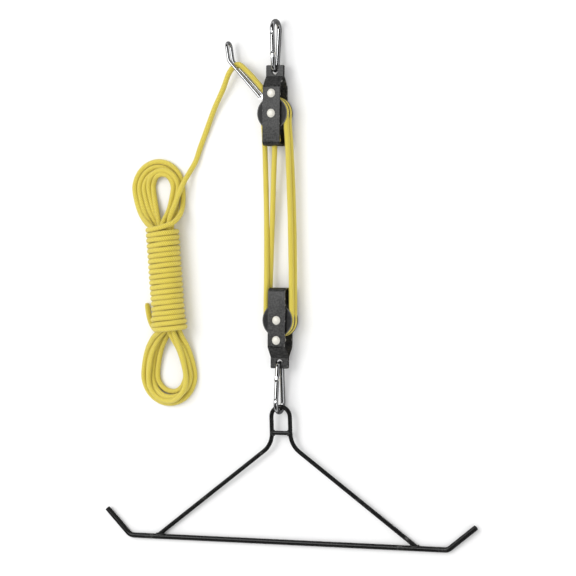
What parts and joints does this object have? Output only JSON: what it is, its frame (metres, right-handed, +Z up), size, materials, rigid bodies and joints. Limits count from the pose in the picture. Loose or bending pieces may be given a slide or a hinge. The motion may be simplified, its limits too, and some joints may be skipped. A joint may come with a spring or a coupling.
{
  "type": "gambrel hoist kit",
  "caption": "Rope tackle with two riveted sheave blocks, snap hooks, a rope-lock lever, a steel spreader gambrel and a tied hank of spare rope, laid flat.",
  "frame": {"origin": "middle of the kit's footprint, on the surface it lies on", "axes": "+Y along the hoist from the gambrel towards the hanging hook, +X to the right seen from above, +Z up from the surface"},
  "size_m": [0.6124, 0.791, 0.038],
  "materials": {
    "painted_steel": "satin black paint",
    "zinc_steel": "bright zinc plate",
    "chrome_steel": "polished chrome plate",
    "spring_steel": "drawn spring wire",
    "sheave_nylon": "moulded nylon",
    "black_enamel": "black enamel",
    "braided_rope": "solid braid polypropylene"
  },
  "bodies": {
    "upper_block": {"upper_block_strap": "painted_steel", "upper_axle_rivet": "zinc_steel", "upper_tab_rivet": "zinc_steel", "upper_spacer_sleeve": "zinc_steel", "rope_standing_knot": "braided_rope", "rope_turn_upper_back": "braided_rope", "rope_hauling_turn": "braided_rope", "rope_tail": "braided_rope", "rope_hank": "braided_rope", "rope_fall_standing": "braided_rope", "rope_fall_right_back": "braided_rope", "rope_fall_left": "braided_rope", "rope_fall_right_front": "braided_rope"},
    "upper_sheave_front": {"upper_sheave_front": "sheave_nylon"},
    "upper_sheave_back": {"upper_sheave_back": "sheave_nylon"},
    "rope_lock_lever": {"rope_lock_lever": "chrome_steel"},
    "upper_hook": {"upper_hook_body": "chrome_steel", "upper_gate_rivet": "zinc_steel"},
    "upper_gate": {"upper_hook_gate": "chrome_steel", "upper_gate_plunger": "zinc_steel", "upper_gate_spring": "spring_steel"},
    "lower_block": {"lower_block_strap": "painted_steel", "lower_axle_rivet": "zinc_steel", "lower_tab_rivet": "zinc_steel", "lower_spacer_sleeve": "zinc_steel", "rope_turn_lower_back": "braided_rope", "rope_turn_lower_front": "braided_rope"},
    "lower_sheave_front": {"lower_sheave_front": "sheave_nylon"},
    "lower_sheave_back": {"lower_sheave_back": "sheave_nylon"},
    "lower_hook": {"lower_hook_body": "chrome_steel", "lower_gate_rivet": "zinc_steel"},
    "lower_gate": {"lower_hook_gate": "chrome_steel", "lower_gate_plunger": "zinc_steel", "lower_gate_spring": "spring_steel"},
    "gambrel": {"gambrel_loop": "black_enamel", "gambrel_crossbar": "black_enamel", "gambrel_spreader_bar": "black_enamel"}
  },
  "joints": [
    {"name": "lower_block_lift", "type": "slide", "parent": "upper_block", "child": "lower_block", "axis": [0, 1, 0], "range_m": [0, 0.12], "deforming": ["rope_fall_standing", "rope_fall_right_back", "rope_fall_left", "rope_fall_right_front"]},
    {"name": "upper_back_sheave_spin", "type": "hinge", "parent": "upper_block", "child": "upper_sheave_back", "pos_m": [-0.01795, 0.25467, 0.01125], "axis": [0, 0, 1], "continuous": true},
    {"name": "upper_front_sheave_spin", "type": "hinge", "parent": "upper_block", "child": "upper_sheave_front", "pos_m": [-0.01795, 0.25467, 0.02175], "axis": [0, 0, 1], "continuous": true},
    {"name": "lower_back_sheave_spin", "type": "hinge", "parent": "lower_block", "child": "lower_sheave_back", "pos_m": [-0.00595, -0.05293, 0.01125], "axis": [0, 0, 1], "continuous": true},
    {"name": "lower_front_sheave_spin", "type": "hinge", "parent": "lower_block", "child": "lower_sheave_front", "pos_m": [-0.00595, -0.05293, 0.02175], "axis": [0, 0, 1], "continuous": true},
    {"name": "rope_lock_lever_swing", "type": "hinge", "parent": "upper_block", "child": "rope_lock_lever", "pos_m": [-0.01795, 0.28447, 0.0165], "axis": [0, 0, -1], "range_deg": [0, 30]},
    {"name": "upper_hook_swing", "type": "hinge", "parent": "upper_block", "child": "upper_hook", "pos_m": [-0.01795, 0.31817, 0.0165], "axis": [0, 0, -1], "range_deg": [-60, 60]},
    {"name": "upper_gate_open", "type": "hinge", "parent": "upper_hook", "child": "upper_gate", "pos_m": [-0.01795, 0.34329, 0.02562], "axis": [-1, 0, 0], "range_deg": [0, 25], "stiffness_Nm_per_rad": 0.1, "springref_deg": -28.65},
    {"name": "lower_hook_swing", "type": "hinge", "parent": "lower_block", "child": "lower_hook", "pos_m": [-0.00595, -0.11643, 0.0165], "axis": [0, 0, 1], "range_deg": [-15, 15]},
    {"name": "lower_gate_open", "type": "hinge", "parent": "lower_hook", "child": "lower_gate", "pos_m": [-0.00595, -0.14154, 0.02562], "axis": [1, 0, 0], "range_deg": [0, 25], "stiffness_Nm_per_rad": 0.1, "springref_deg": -28.65},
    {"name": "gambrel_swing", "type": "hinge", "parent": "lower_hook", "child": "gambrel", "pos_m": [-0.00595, -0.19755, 0.0132], "axis": [0, 0, 1], "range_deg": [-15, 15]}
  ],
  "couplings": [
    {"joint": "lower_back_sheave_spin", "follows": "lower_block_lift", "rad_per_m": 47.619},
    {"joint": "upper_back_sheave_spin", "follows": "lower_block_lift", "rad_per_m": 95.238},
    {"joint": "lower_front_sheave_spin", "follows": "lower_block_lift", "rad_per_m": 142.86},
    {"joint": "upper_front_sheave_spin", "follows": "lower_block_lift", "rad_per_m": 190.48}
  ]
}
